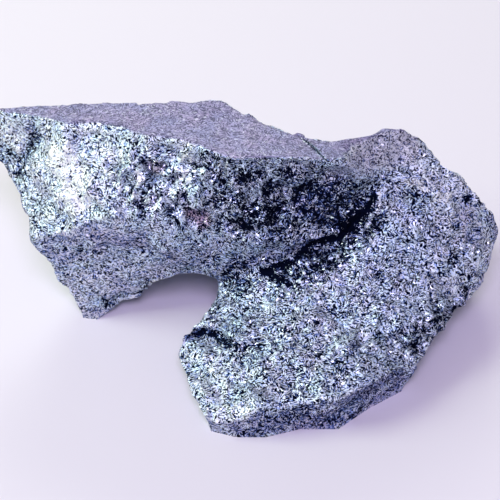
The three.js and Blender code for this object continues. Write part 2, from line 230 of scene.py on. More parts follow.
ZONES = {
    "skin": (
        stroke(0.4, 6.0, (20, 10, 37), (26, 12, 36.5), (31, 15, 35.5)),
    ),
    "plain": (
        stroke(0.8, 3.0, (44.5, 9.5, 23.5), (46.6, 6, 18)),
        stroke(0.35, 6.0, (12, 6, 33), (16, 6, 28)),
        stroke(-0.5, 6.0, (-10, 1, 17), (-2, 0.6, 16)),
        stroke(-0.9, 5.0, (-14, 1, 25), (-2, 1, 22), (8, 2, 23)),
        stroke(-0.7, 8.0, (-33, 2.2, 9), (-27, 1.8, 12), (-20, 1.6, 15)),
        stroke(-0.8, 2.4, (-24.5, 2.8, 4.2), (-20.4, 2.9, 6.1), (-16.9, 2.7, 9.1)),
    ),
    "bold": (
        stroke(1.0, 9.0, (-19, 5, 34), (-8, 4, 35), (7, 4, 34)),
        stroke(0.7, 6.0, (-9, 2, 28), (4, 2, 27)),
        stroke(0.3, 6.0, (14, 5, 31), (20, 7, 29)),
        stroke(0.8, 2.5, (-27, 2.6, 4), (-24.5, 2.8, 4.2), (-20.4, 2.9, 6.1), (-16.9, 2.7, 9.1)),
        stroke(0.8, 5.0, (9, -3, 16), (17, 0, 18.5), (24, 5.5, 23)),
        stroke(0.8, 4.0, (33.4, -14.4, 9.2), (38.3, -9.3, 10.3), (44, -3, 10)),
        stroke(0.35, 3.0, (44, -3, 10), (47, 5, 18), (48, 10, 25)),
    ),
    "stain": (
        stroke(0.8, 2.2, (-16.4, 6.9, 36.9)),
        stroke(1.0, 2.2, (-9.4, 1.9, 29.8), (-7.1, 1.5, 27.5)),
    ),
}
print("strokes:", {name: len(strokes) for name, strokes in ZONES.items()})

# %% [markdown]
# ## Strokes of light
#
# These strokes are painted light and shade. The arm's front goes from a painted blaze at the left,
# where its grains face the light, to painted shade, near black, at the right. The wide face is even,
# apart from painted shade on its foot, in a few gashes along its rim and in some pits, and painted light
# on some flakes.

# %% Light and shade on the arm

ZONES["light"] = (
    # painted light on the bright left slope
    stroke(0.31, 12.0, (-34, 11, 35), (-31, 7, 30), (-27, 9, 35)),
    stroke(0.95, 4.2, (-35.2, 11.1, 34.7), (-32.2, 7.4, 31.5), (-31.8, 5.6, 29.6)),
    stroke(-0.12, 4.0, (-33.3, 3.8, 26.8), (-30.2, 2.2, 27.1)),
    # painted shade in the groove near the tip, and painted light beside it
    stroke(
        -0.9, 1.5,
        (-40.3, 17.6, 35.6), (-41.7, 17.5, 32.3), (-43.3, 16.6, 29.2), (-44.2, 15.6, 26.6),
    ),
    stroke(0.24, 4.5, (-46.4, 19.9, 35.2), (-43.4, 17.7, 31.3), (-43.5, 15.8, 27.7)),
    stroke(-0.6, 2.4, (-46.5, 18.5, 29), (-47.5, 18, 30)),
    # painted shade at the dark right end of the slope, and some painted light above it
    stroke(-0.50, 9.0, (-1, 2.5, 33), (8, 4, 31), (17.4, 7.2, 32), (21, 8, 30)),
    stroke(1.0, 6.5, (22, 11, 37), (31, 15, 36)),
    stroke(-0.46, 8.0, (5, 2, 26), (13, 4, 27), (20, 6, 26)),
    stroke(-0.26, 7.0, (-10, 1, 17), (-2, 0.6, 16)),
    stroke(0.18, 5.0, (-14.5, 8.5, 39), (-9.7, 6.2, 37.9), (-2.9, 3.9, 37)),
    stroke(0.18, 4.0, (-8.8, 1.7, 30.8), (-4.9, 1.7, 31.5)),
    # the two stains, which are darker
    stroke(-0.5, 2.2, (-16.4, 6.9, 36.9)),
    stroke(-0.6, 2.2, (-9.4, 1.9, 29.8), (-7.1, 1.5, 27.5)),
    stroke(-0.20, 4.5, (1.8, 1.1, 26), (7.7, 1.4, 23.8), (13.6, 3.3, 22.7)),
    # painted shade in pits along the skin's edge
    stroke(-1.0, 1.0, (-12.4, 5.8, 36.1)),
    stroke(-1.2, 1.5, (-6, 4.8, 38.4)),
    stroke(-1.0, 2.0, (0.3, 3.4, 36.8)),
    # the shade around the crease at its foot
    stroke(-0.72, 4.6, (7, -1.5, 16), (12, -1, 16.5), (20, 3, 20), (24.5, 6, 24)),
    # painted light along the broken lower edge of the arm
    stroke(0.40, 2.4, (-24.5, 2.8, 4.2), (-20.4, 2.9, 6.1), (-16.9, 2.7, 9.1)),
    # painted light on the arm's lower face and heel
    stroke(0.07, 6.0, (-28.9, 2.2, 16), (-20, 1.6, 15.2)),
    stroke(0.18, 6.0, (-32.3, 2.2, 8.9), (-28.6, 2.1, 3.2)),
)
print("strokes on the arm:", len(ZONES["light"]))

# %% Light and shade on the wide face and the rim

ZONES["light"] += (
    # painted shade on the low part of the wide face, and on a steep strip beside the crease
    stroke(-0.14, 14.0, (6, -20, 10), (16, -14, 12), (28, -6, 15)),
    stroke(-0.4, 2.0, (26.2, 10, 30), (27, 6.2, 24.3), (27.5, 5.1, 22.8)),
    # painted shade in the inner corner between the limbs
    stroke(-0.5, 2.4, (-2.5, 0.1, 12.2), (0.3, -1.7, 13.1)),
    stroke(-0.2, 3.0, (-3.1, -1.8, 11), (-0.1, -5.7, 11.3)),
    stroke(-0.30, 4.2, (-0.1, -0.1, 14.1), (0.9, -3, 12.8)),
    # painted shadow in the step above the nose, and in the valley that goes on from it
    stroke(
        -0.7, 1.3,
        (-10.4, -9.9, 8.1), (-6.6, -10.3, 8.8), (-3.6, -12.8, 8.9), (-1.5, -14.9, 10.3),
    ),
    stroke(-1.0, 1.1, (-1.5, -14.9, 10.3), (3.8, -15.5, 10.5)),
    stroke(-0.24, 1.6, (-3.6, -12.6, 8.7), (1.6, -18.3, 9.2), (4.5, -22.7, 9.2)),
    # painted light on the bright nose
    stroke(0.20, 6.5, (-5, -16, 7), (-3, -24, 6)),
    # painted light and shade along the front edge below the nose
    stroke(0.24, 3.4, (-4, -27.5, 5), (1.8, -29.5, 5.7)),
    stroke(-0.25, 0.9, (2.2, -23.9, 8.3), (-5.3, -26.9, 5.3)),
    # painted shade in gashes along the rim, and painted light along the rim beside them
    stroke(-0.95, 1.6, (19.1, -21.5, 10.4), (19.7, -20.3, 10.9), (22.1, -15.9, 11.8)),
    stroke(-0.95, 1.4, (27.1, -13, 11.4), (26.5, -15, 11.1)),
    stroke(-0.95, 1.2, (31.1, -10.9, 12), (29.5, -13, 10.6)),
    stroke(
        -0.95, 1.4,
        (42.1, -5.3, 8.7), (38.3, -9.3, 10.3), (35, -12.5, 10), (33.4, -14.4, 9.2),
    ),
    stroke(-0.2, 2.5, (44.1, -3, 10), (41.5, -5.1, 9.3)),
    stroke(
        0.16, 5.0,
        (17.4, -14.2, 11.9), (25.1, -14, 11.7), (30.1, -12.8, 10.4), (39.3, -4.8, 11.9),
    ),
    stroke(0.12, 5.5, (40.4, -0.2, 15.6), (48, 5, 17), (43, 9, 25), (37.2, 11, 29.4)),
)
print("strokes so far:", len(ZONES["light"]))

# %% Broad changes, and small pits and flakes

ZONES["light"] += (
    # broad changes from place to place
    stroke(0.1, 5.0, (-30.4, 2, 13.3), (-27.2, 1.7, 9.3)),
    stroke(-0.28, 4.0, (0.9, 0.5, 16.4), (-1.1, -1.4, 12.6)),
    stroke(-0.18, 3.5, (-1.1, 1.3, 25.8), (1.8, 0.9, 25.1)),
    stroke(-0.18, 4.0, (8.7, 1.7, 24.2), (12.7, 2.9, 19.5)),
    stroke(0.14, 4.0, (-6.8, 5.3, 38.7), (-2.4, 3.6, 37.7)),
    stroke(0.18, 3.0, (-9.7, 1.7, 31.3), (-5.5, 1.8, 30.6)),
    stroke(0.2, 2.5, (4.2, 3.1, 29.4)),
    stroke(-0.16, 2.5, (4.7, 4.7, 38.5), (13.4, 5.6, 37.2), (20.2, 7.4, 35)),
    stroke(0.15, 4.0, (-20.3, 6.2, 37.1)),
    stroke(0.14, 4.0, (37.2, 13.2, 31.5), (42.3, 11.4, 27.8)),
    stroke(0.18, 3.5, (-46.4, 19.9, 35.2), (-43, 17.9, 31.7)),
    stroke(0.1, 4.0, (21.2, -14.5, 12.2), (28.1, -13.3, 10.9), (26, -16.9, 10.6)),
    stroke(-0.14, 3.0, (24.4, -2, 18), (22.9, -8.3, 14.1)),
    stroke(-0.12, 2.5, (-5, -8.1, 10.2), (-1.7, -15.1, 10)),
    stroke(-0.12, 3.0, (19.1, -22.3, 10.2), (24.8, -23.1, 9.4)),
    # painted shade in pits, and painted light on flakes, on the wide face
    stroke(-1.4, 1.2, (27.1, -2.9, 16.7)),
    stroke(-1.3, 1.1, (39.6, -0.6, 15.4)),
    stroke(-1.3, 1.8, (41.8, 1.6, 16.8)),
    stroke(-1.3, 1.2, (42.8, 6.6, 21.1)),
    stroke(-1.5, 1.1, (44, 10.2, 25.3), (45, 10.3, 25.4)),
    stroke(-1.4, 1.1, (47.2, 10, 24.4)),
    stroke(-1.5, 0.9, (32.5, 9.1, 27.2), (36.9, 9.3, 27.3)),
    stroke(0.5, 1.4, (38.5, 9, 26.5), (40.3, 9.2, 26.3)),
    stroke(0.5, 1.1, (33, 10.5, 29.5), (35.2, 10, 28.8), (37, 9.8, 28)),
)
print("strokes of light:", len(ZONES["light"]))

# %% [markdown]
# ## Sharp lines
#
# The zones above get ragged edges, because a noise moves each point a little before it is measured.
# That would tear a thin line to pieces, so the painted shadow in the crease between the limbs and a few
# other lines are measured from the true place. The strokes called *wall* paint shade on plain faces only,
# so that it ends cleanly at the edge above the wall.

# %% Lines and walls

ZONES["line"] = (
    # painted shadow in the black crease, and painted highlights on the two flakes beside it
    stroke(-1.7, 0.95, (4.2, -0.4, 15.3), (7, 0.3, 16.3), (10.1, 0.4, 17.3), (12.5, 2.3, 18.7)),
    stroke(
        -1.7, 0.95,
        (12.5, 2.3, 18.7), (15.2, 3.2, 20.3), (18.2, 4, 20.4), (20.6, 4.8, 21.5),
        (22.5, 6, 23.9), (24.7, 7.4, 25.3), (26.2, 8.7, 27.6),
    ),
    stroke(
        -1.6, 0.8,
        (4.2, -0.2, 15.6), (6.6, -1.4, 15.2), (8.9, -3.1, 14.9), (11.3, -4, 15.3),
    ),
    stroke(1.6, 0.55, (27.2, 8.9, 28.2), (27, 7.6, 26.7), (26.8, 6.5, 25)),
    stroke(1.5, 0.5, (25.7, 6.3, 24.2), (24.9, 5.1, 22.6)),
    # painted shade in the groove near the tip, and in the step above the nose
    stroke(
        -1.0, 0.8,
        (-40.9, 17.8, 35.7), (-41.9, 17.8, 32.4), (-43, 16.6, 29.7), (-44.2, 16, 27.2),
    ),
    stroke(
        -1.0, 0.8,
        (-10, -10.3, 7.9), (-7.6, -9.9, 8.7), (-5.2, -10.9, 8.3), (-3.2, -13.3, 8.8),
        (-0.9, -15.7, 9.8),
    ),
)
ZONES["wall"] = (
    # painted shade on the wall below the wide face
    stroke(-0.32, 7.0, (2, -30, 4), (12, -30, 4), (22, -26.5, 6), (30, -20, 7), (35, -14, 7)),
)
print("sharp lines:", len(ZONES["line"]))

# %% [markdown]
# ## Rules for the kinds of surface
#
# Strokes alone would take hundreds of lines. Most of each zone follows from a rule: the skin is the one
# part that faces up and lies near the top, and the breaks around it have nibbled at its edge. A plain
# face is steep and low, apart from spots where rough crystals show.

# %% Where the skin is

CRACK_HALF = 0.32 * MM
CRACK_DEPTH = -0.1
CRACK_OPEN_END = 11 * MM
UPWARD = 0.5
NIBBLE_SIZE = 1.7 * MM
NIBBLE = 0.03
BACKWARD = 0.12
BACKWARD_RANGE = (0.05, 0.3)
SKIN_FACING = (0.86, 0.93)
SKIN_HEIGHT = (33 * MM, 36 * MM)


def in_crack(vert, normal, height):
    """Whether a point lies on the crack's walls, or on its rims where it gapes."""
    rim = near_crack(vert, CRACK_HALF) and normal.z > UPWARD and vert.co.y < CRACK_OPEN_END
    return rim or (near_crack(vert, CRACK_REACH) and height < CRACK_DEPTH)


def skin_share(vert, normal, height):
    """1 on the cast skin, 0 on a break, and between them at the skin's edge."""
    if in_crack(vert, normal, height):
        return 0.0
    if near_crack(vert, 2 * CRACK_REACH) and normal.z > UPWARD:
        return 1.0
    nibble = noise.noise(vert.co / NIBBLE_SIZE) * NIBBLE
    backward = BACKWARD * ramp(normal.y, *BACKWARD_RANGE)
    level = ramp(normal.z + nibble + backward, *SKIN_FACING)
    return level * ramp(vert.co.z, *SKIN_HEIGHT)


skin_shares = [skin_share(*of_point) for of_point in zip(net.verts, facing, stand)]
print("share of the points on the skin:", sum(skin_shares) / len(skin_shares))

# %% Where the plain faces are

PLAIN_FACING = (0.29, 0.34)
PLAIN_HEIGHT = (25 * MM, 28 * MM)
WANDER_SIZE = 5 * MM
WANDER_FACING = 0.08
WANDER_HEIGHT = 2 * MM
SPOT_SIZE = 2.6 * MM
SPOT_RANGE = (0.12, 0.42)
SPOT_SHARE = 0.8


def plain_share(vert, normal):
    """1 on a steep face near the ground, apart from spots with rough crystals."""
    wander = noise.noise(vert.co / WANDER_SIZE)
    steep = 1 - ramp(normal.z + WANDER_FACING * wander, *PLAIN_FACING)
    low = 1 - ramp(vert.co.z + WANDER_HEIGHT * wander, *PLAIN_HEIGHT)
    spots = ramp(noise.noise(vert.co / SPOT_SIZE), *SPOT_RANGE)
    return steep * low * (1 - SPOT_SHARE * spots)


plain_shares = [plain_share(*of_point) for of_point in zip(net.verts, facing)]
print("share of the points on plain faces:", sum(plain_shares) / len(plain_shares))

# %% [markdown]
# ## Rules for the light
#
# Ridges get painted light and hollows painted shade, so the height over the calm copy counts. Low slopes
# get a painted highlight, a bright fringe, where they turn over into a wall, and the walls of the crack
# get painted shade. On the bold parts each upright clump of crystals has its own tone. A Voronoi pattern
# gives the clumps: a point belongs to its nearest site, and the site's place, times a key, is turned into
# a number. Another key gives another number, with no random draw that could change from run to run.

# %% How much painted light or shade a place gets

BASE_LIGHT = 0.05
DRIFT = 0.06
DRIFT_SIZE = 6 * MM
CRACK_SHADE = -1.5
FRINGE = 0.14
FRINGE_START = (0.34, 0.40)
FRINGE_END = (0.50, 0.66)
FRINGE_HEIGHT = (22 * MM, 27 * MM)
RIDGE_LIGHT = 0.35
RIDGE_RANGE = (-0.20, 0.12)
CLUMP_WIDTH = 1.5 * MM
CLUMP_STRETCH = 0.45
TONE_KEY = 53.0


def painted_light_change(vert, normal, height):
    """How much painted light or shade a place gets, with a faint random drift."""
    change = BASE_LIGHT + DRIFT * noise.fractal(vert.co / DRIFT_SIZE, 1.0, 2.0, 2)
    if in_crack(vert, normal, height):
        change += CRACK_SHADE
    fringe = ramp(normal.z, *FRINGE_START) * (1 - ramp(normal.z, *FRINGE_END))
    change += FRINGE * fringe * (1 - ramp(vert.co.z, *FRINGE_HEIGHT))
    return change + clamp(height * RIDGE_LIGHT, *RIDGE_RANGE)


def clump_tone(point):
    """A number from -0.5 to 0.5 for the upright clump of crystals that a point belongs to."""
    upright = Vector((point.x, point.y, CLUMP_STRETCH * point.z))
    site = noise.voronoi(upright / CLUMP_WIDTH)[1][0]
    return noise.cell(site * TONE_KEY) - 0.5


print("tone of the clump at the middle:", clump_tone(Vector((0, 0, 0))))

# %% [markdown]
# ## Filling the attributes
#
# Now each point gets its five numbers from the rules and the strokes together. A vector noise draws its
# pattern from a seed, and without a fixed one it would take the time of day, so that the lump would
# come out a little different on every run.

# %% The numbers of each point

RAGGED = 0.7 * MM
RAGGED_SIZE = 1.6 * MM
RAGGED_SEED = 3
BOLD_SHADE = 0.08

noise.seed_set(RAGGED_SEED)

for vert, normal, height, on_skin, on_plain in zip(
    net.verts, facing, stand, skin_shares, plain_shares
):
    ragged = vert.co + RAGGED * noise.noise_vector(vert.co / RAGGED_SIZE)
    zone = {name: sum_of(ZONES[name], STROKE_CORE, ragged) for name in ATTRIBUTES}
    skin = max(on_skin, zone["skin"])
    plain = clamp(on_plain + zone["plain"], 0.0, 1.0)
    vert[layers["skin"]] = skin
    vert[layers["plain"]] = plain
    vert[layers["bold"]] = min(1.0, zone["bold"]) * (1 - skin)
    vert[layers["stain"]] = zone["stain"]
    light = painted_light_change(vert, normal, height) + zone["light"]
    sharp = sum_of(ZONES["line"], STROKE_CORE, vert.co)
    wall = sum_of(ZONES["wall"], STROKE_CORE, vert.co)
    light += sharp + plain * wall
    light += vert[layers["bold"]] * (clump_tone(ragged) - BOLD_SHADE)
    vert[layers["light"]] = light * (1 - skin)
for name, layer in layers.items():
    print("points with", name, "over a half:", sum(vert[layer] > 0.5 for vert in net.verts))

# %% [markdown]
# ## Crystal ledges
#
# A break in silicon runs along the crystals' own planes. A Voronoi pattern gives the same thing: every
# point belongs to its nearest site, and each site gets a small plane with its own tilt and height. Two
# sizes are laid over each other, and a soft noise keeps the ledges from looking even. The bold parts
# get a third size, which is drawn out upwards into columns.

# %% Ledges

# width in millimetres, slope, step in millimetres
LEDGES = ((2.6, 0.15, 0.10), (1.2, 0.14, 0.05))
COLUMNS = (2.2, 0.45, 0.45)
COLUMN_STRETCH = 0.4
TILT_KEY, LIFT_KEY = 37.0, 91.0


def ledge(point, width, slope, step):
    """The height of the tilted plane that the point lies on."""
    site = noise.voronoi(point / (width * MM))[1][0]
    tilt = noise.cell_vector(site * TILT_KEY) - Vector((0.5, 0.5, 0.5))
    lift = noise.cell(site * LIFT_KEY)
    off = point - site * width * MM
    return slope * 2 * off.dot(tilt) + step * MM * (lift - 0.5)


def column(point):
    """The height of the upright column that the point lies on."""
    return ledge(Vector((point.x, point.y, COLUMN_STRETCH * point.z)), *COLUMNS)


print("a ledge and a column in mm:", ledge(cad_box[1], *LEDGES[0]) / MM, column(cad_box[1]) / MM)

# %% [markdown]
# ## Marks
#
# Some forms are there once only: the groove near the arm's tip, the step above the nose, a few gashes,
# a pit, a knob, and flakes that stand up. They are strokes as well, whose change is a height in
# millimetres.

# %% Grooves, steps and flakes

MARK_CORE = 0.2
MARKS = (
    stroke(
        -0.5, 1.3,
        (-40.2, 18.1, 39.4), (-41.4, 18.1, 36.3), (-42.8, 17.7, 31.4), (-45, 15.9, 26.3),
    ),
    stroke(-0.7, 1.6, (-10.6, -9.9, 8), (-6, -10.5, 8.6), (-2, -14.5, 10), (1, -16.2, 10)),
    stroke(-0.5, 1.1, (19.2, -17.9, 11.7), (21.4, -18.3, 11.5)),
    stroke(-0.5, 1.0, (21.8, -16.4, 11.5), (25.1, -14.4, 11.6), (27.1, -13.0, 11.4)),
    stroke(-0.4, 0.9, (33.3, 8.6, 26.3), (36.3, 8.2, 25.9)),
    stroke(0.4, 1.0, (38.3, 9.4, 26.9), (39.6, 7.6, 24.4)),
    stroke(-0.7, 0.9, (5.6, -5.0, 13.6), (6.2, -5.9, 13.3)),
    stroke(0.5, 1.3, (12.4, 2.2, 21.6)),
    stroke(0.4, 0.9, (25.8, 9.0, 28.0), (26.0, 6.2, 24.6)),
)
print("marks:", len(MARKS))

# %% The relief

SWELL = 0.08 * MM
SWELL_SIZE = 3.5 * MM
SKIN_GRAIN = 0.02 * MM
SKIN_GRAIN_SIZE = 0.8 * MM
PLAIN_SHARE = 0.45
FOOT = 1.5 * MM


def relief(vert):
    """How far a point moves along its normal."""
    point = vert.co
    skin, plain, bold = (vert[layers[name]] for name in ("skin", "plain", "bold"))
    rough = sum(ledge(point, *size) for size in LEDGES)
    rough += SWELL * noise.fractal(point / SWELL_SIZE, 1.0, 2.0, 3)
    rough *= 1 - (1 - PLAIN_SHARE) * plain + bold
    rough += bold * column(point)
    rough += MM * sum_of(MARKS, MARK_CORE, point)
    fine = SKIN_GRAIN * noise.noise(point / SKIN_GRAIN_SIZE)
    return (rough * (1 - skin) + fine * skin) * ramp(point.z, 0.0, FOOT)


moves = [(v, facing[v.index] * relief(v)) for v in free]
for vert, move in moves:
    vert.co += move
    vert.co.z = max(vert.co.z, 0.0)
print("largest move in mm:", max(move.length for _, move in moves) / MM)

# %% [markdown]
# ## Edges and hollows
#
# The small ledges are there now, so the net is compared with a calm copy once more, this time one that
# is smoothed only a little. The rims of the ledges stand out from it and get painted light. The steps
# below them lie behind it and get painted shade, and so does the inside of the crack.

# %% Painted light on rims and painted shade in steps

EDGE_ROUNDS = 6
EDGE_LIGHT = 1.1
EDGE_RANGE = (-0.35, 0.15)
EVEN_LESS = 0.6
BOLD_MORE = 1.5

net.normal_update()
for vert, height in zip(net.verts, compare_with_calm(EDGE_ROUNDS)[1]):
    skin, plain, bold = (vert[layers[name]] for name in ("skin", "plain", "bold"))
    strength = 1 - EVEN_LESS * max(plain, skin) + BOLD_MORE * bold
    vert[layers["light"]] += clamp(height * EDGE_LIGHT, *EDGE_RANGE) * strength
tones = [vert[layers["light"]] for vert in net.verts]
print("light goes from", min(tones), "to", max(tones))

# %% [markdown]
# ## The finished mesh
#
# The faces are shaded smooth, because their blades come from the material. Only the walls of the crack
# stay flat, so that its rims are sharp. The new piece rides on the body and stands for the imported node.

# %% The piece

for face in net.faces:
    face.smooth = not all(near_crack(vert, CRACK_REACH) for vert in face.verts)
mesh = bpy.data.meshes.new("silicon_lump")
net.to_mesh(mesh)
net.free()
lump = bpy.data.objects.new("silicon_lump", mesh)
bpy.context.collection.objects.link(lump)
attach(lump, "root")
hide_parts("lump")
print("finished lump:", len(mesh.polygons), "triangles")

# %% [markdown]
# ## The material
#
# The finest blades are a tenth of a millimetre thick and half a millimetre long, far too small for the
# net, so the material makes them. A noise texture would give soft clouds. A Voronoi texture gives sharp
# cells, and each cell can get its own tone and its own lean, so that one blade shines and the next is
# dark. The cells are stretched, because blades are longer than they are thick, and a coarser Voronoi
# turns the pattern from grain to grain. All of it reads Object coordinates, so that no blade is smeared
# on a steep face.
#
# The pattern is needed in five sizes, so it is a node group that is built once.

# %% Helpers for node trees


def add(tree, kind, location, **values):
    """Adds a node, and sets its properties and its sockets by name."""
    made = tree.nodes.new(kind)
    made.location = location
    for name, value in values.items():
        if hasattr(made, name):
            setattr(made, name, value)
        else:
            made.inputs[name.replace("_", " ")].default_value = value
    return made


def new_group(name, inputs, outputs):
    """A shader node group with named sockets, and its two end nodes."""
    tree = bpy.data.node_groups.new(name, "ShaderNodeTree")
    for direction, sockets in (("INPUT", inputs), ("OUTPUT", outputs)):
        for socket_name, kind in sockets:
            tree.interface.new_socket(
                socket_name, in_out=direction, socket_type="NodeSocket" + kind
            )
    source = add(tree, "NodeGroupInput", (-900, 0))
    target = add(tree, "NodeGroupOutput", (650, 0))
    return tree, source, target


# %% The blades' nodes

blades, source, target = new_group(
    "crystal blades",
    [("Position", "Vector"), ("Grains", "Float"), ("Blades", "Float"), ("Stretch", "Vector")],
    [("Tilt", "Vector"), ("Tone", "Float")],
)
grains = add(blades, "ShaderNodeTexVoronoi", (-650, 200))
turn = add(blades, "ShaderNodeVectorMath", (-450, 200), operation="SCALE", Scale=math.tau)
turned = add(blades, "ShaderNodeVectorRotate", (-250, 100), rotation_type="EULER_XYZ")
stretched = add(blades, "ShaderNodeVectorMath", (-50, 100), operation="MULTIPLY")
cells = add(blades, "ShaderNodeTexVoronoi", (150, 100))
centred = add(blades, "ShaderNodeVectorMath", (400, 150), operation="SUBTRACT")
centred.inputs[1].default_value = (0.5, 0.5, 0.5)
number = add(blades, "ShaderNodeTexWhiteNoise", (400, -50), noise_dimensions="3D")
print("nodes in the group:", len(blades.nodes))

# %% The blades' links

for start, end in (
    (source.outputs["Position"], grains.inputs["Vector"]),
    (source.outputs["Grains"], grains.inputs["Scale"]),
    (grains.outputs["Color"], turn.inputs[0]),
    (source.outputs["Position"], turned.inputs["Vector"]),
    (turn.outputs[0], turned.inputs["Rotation"]),
    (turned.outputs[0], stretched.inputs[0]),
    (source.outputs["Stretch"], stretched.inputs[1]),
    (stretched.outputs[0], cells.inputs["Vector"]),
    (source.outputs["Blades"], cells.inputs["Scale"]),
    (cells.outputs["Color"], centred.inputs[0]),
    (cells.outputs["Position"], number.inputs["Vector"]),
    (centred.outputs[0], target.inputs["Tilt"]),
    (number.outputs["Value"], target.inputs["Tone"]),
):
    blades.links.new(start, end)
print("links in the group:", len(blades.links))

# %% The silicon material's frame

silicon = bpy.data.materials.new("silicon")
silicon.use_nodes = True
tree = silicon.node_tree
tree.nodes.clear()
link = tree.links.new
output = add(tree, "ShaderNodeOutputMaterial", (2100, 0))
shader = add(tree, "ShaderNodeBsdfPrincipled", (1800, 0))
place = add(tree, "ShaderNodeTexCoord", (-1500, 0))
surface = add(tree, "ShaderNodeNewGeometry", (1000, -700))
attribute = {}
for row, name in enumerate(ATTRIBUTES):
    reader = add(tree, "ShaderNodeAttribute", (-1500, 1100 - 200 * row), attribute_name=name)
    attribute[name] = reader.outputs["Fac"]
link(shader.outputs["BSDF"], output.inputs["Surface"])
print("attributes that the material reads:", ", ".join(attribute))

# %% Nodes that take sockets or plain values


def feed(target, value):
    """Links a socket to an input, or sets the input to a plain value."""
    if isinstance(value, bpy.types.NodeSocket):
        link(value, target)
    else:
        target.default_value = value


def maths(operation, location, *values):
    """A Math node."""
    made = add(tree, "ShaderNodeMath", location, operation=operation)
    for position, value in enumerate(values):
        feed(made.inputs[position], value)
    return made.outputs[0]


def vectors(operation, location, *values, scale=None):
    """A Vector Math node."""
    made = add(tree, "ShaderNodeVectorMath", location, operation=operation)
    for position, value in enumerate(values):
        feed(made.inputs[position], value)
    if scale is not None:
        feed(made.inputs["Scale"], scale)
    return made.outputs[0]


def between(location, share, low, high, start=0.0, end=1.0):
    """Goes from low to high while the share goes from start to end."""
    made = add(tree, "ShaderNodeMapRange", location, To_Min=low, To_Max=high)
    made.inputs["From Min"].default_value = start
    made.inputs["From Max"].default_value = end
    link(share, made.inputs["Value"])
    return made.outputs["Result"]


def mixed(location, share, low, high, kind="MIX"):
    """Goes from one colour to another, or multiplies them, with the share."""
    made = add(tree, "ShaderNodeMix", location, data_type="RGBA", blend_type=kind)
    feed(made.inputs["Factor"], share)
    feed(made.inputs["A"], low)
    feed(made.inputs["B"], high)
    return made.outputs["Result"]


def flakes(row, grains_per_m, blades_per_m, stretch):
    """One size of crystals."""
    made = add(tree, "ShaderNodeGroup", (-1150, -100 - 300 * row), node_tree=blades)
    made.inputs["Grains"].default_value = grains_per_m
    made.inputs["Blades"].default_value = blades_per_m
    made.inputs["Stretch"].default_value = stretch
    link(place.outputs["Object"], made.inputs["Position"])
    return made


# %% [markdown]
# ## Three sizes of crystals
#
# Fine blades make the glitter, flakes of about a millimetre break it up, and blocks of up to three
# millimetres give the broad patches. Each size moves one number, the tone, up and down, and leans the
# normal a little. The two larger sizes keep only their extremes, so that most of the surface is left to
# the fine blades. Plain faces swing less, and bold ones more.

# %% Tone and lean

SIZES = (
    # grains and blades per metre, stretch, swing of the tone on a rough break and on a plain one, lean
    (1000.0, 9200.0, (1.0, 0.22, 0.22), 5.00, 1.90, 0.12),
    (420.0, 3600.0, (1.0, 0.24, 0.24), 1.70, 1.00, 0.08),
    (150.0, 1000.0, (1.0, 0.35, 0.35), 1.90, 0.80, 0.04),
)
MIDDLE_TONE = 0.415
BOLD_SWING = 4.0
EXTREMES = 3.0

boldness = maths("MULTIPLY_ADD", (-900, 500), attribute["bold"], BOLD_SWING, 1.0)
tone = MIDDLE_TONE
leans = []
for row, (per_grain, per_blade, stretch, rough, even, lean_share) in enumerate(SIZES):
    low = -300 * row
    layer = flakes(row, per_grain, per_blade, stretch)
    contrast = between((-900, low + 150), attribute["plain"], rough, even)
    swing = maths("SUBTRACT", (-900, low - 100), layer.outputs["Tone"], 0.5)
    if row > 0:
        swing = maths("POWER", (-720, low - 100), swing, EXTREMES)
        contrast = maths("MULTIPLY", (-720, low + 150), contrast, boldness)
    tone = maths("MULTIPLY_ADD", (-540, low), swing, contrast, tone)
    leans.append(vectors("SCALE", (-720, low - 250), layer.outputs["Tilt"], scale=lean_share))
lean = vectors("ADD", (-360, -400), leans[0], leans[1])
lean = vectors("ADD", (-180, -550), lean, leans[2])
print("sizes of crystals:", len(SIZES))

# %% [markdown]
# ## Needles and mirrors
#
# Two kinds of crystal stand out from the rest. Some thin blades stand on edge and look like dark
# needles. A few others lie just right and flash like mirrors, more often on the bold parts: their flash
# is a painted glint, which lifts the tone towards white, as well as a real lean and gloss further on.
# Both are blades whose number falls under a threshold. In the deepest shade the painted glints go out.

# %% The few that stand out

NEEDLES = (240.0, 5000.0, (1.0, 0.14, 0.14))
NEEDLE_RANGE = (0.12, 0.17)
NEEDLE_TONE = -0.9
MIRRORS = (600.0, 6400.0, (1.0, 0.22, 0.22))
MIRROR_RANGE = (0.07, 0.12)
PAINTED_GLINT = 0.95
MIRRORS_ON_BOLD = -0.2
LIGHT_SWING = 1.2
SHADE_RANGE = (-1.3, -1.0)

needles = flakes(3, *NEEDLES)
mirrors = flakes(4, *MIRRORS)
dark = between((-540, -1000), needles.outputs["Tone"], NEEDLE_TONE, 0.0, *NEEDLE_RANGE)
often = maths(
    "MULTIPLY_ADD", (-720, -1300), attribute["bold"], MIRRORS_ON_BOLD, mirrors.outputs["Tone"]
)
# the mirrors' painted glint lifts the tone towards white
flash = between((-540, -1300), often, PAINTED_GLINT, 0.0, *MIRROR_RANGE)
wide = maths("ADD", (-300, 0), tone, dark)
wide = maths("MULTIPLY_ADD", (-120, 0), attribute["light"], LIGHT_SWING, wide)
awake = between((-120, -200), wide, 0.0, 1.0, *SHADE_RANGE)
flash = maths("MULTIPLY", (60, -250), flash, awake)
left_over = maths("SUBTRACT", (60, -50), 1.0, wide)
wide = maths("MULTIPLY_ADD", (240, 0), left_over, flash, wide)
print("crystals in the material:", sum(n.type == "GROUP" for n in tree.nodes), "times")

# %% [markdown]
# ## The colour of a break
#
# Silicon is a blue-grey metal. Its bright flakes are nearly white and its dark ones navy, so the tone
# goes through a colour ramp. Over that come faint washes: a plain face gets a painted shade, a little
# darker and more violet, a stain is brown, some patches are cooler, and where the painted light is strong
# the blue fades.

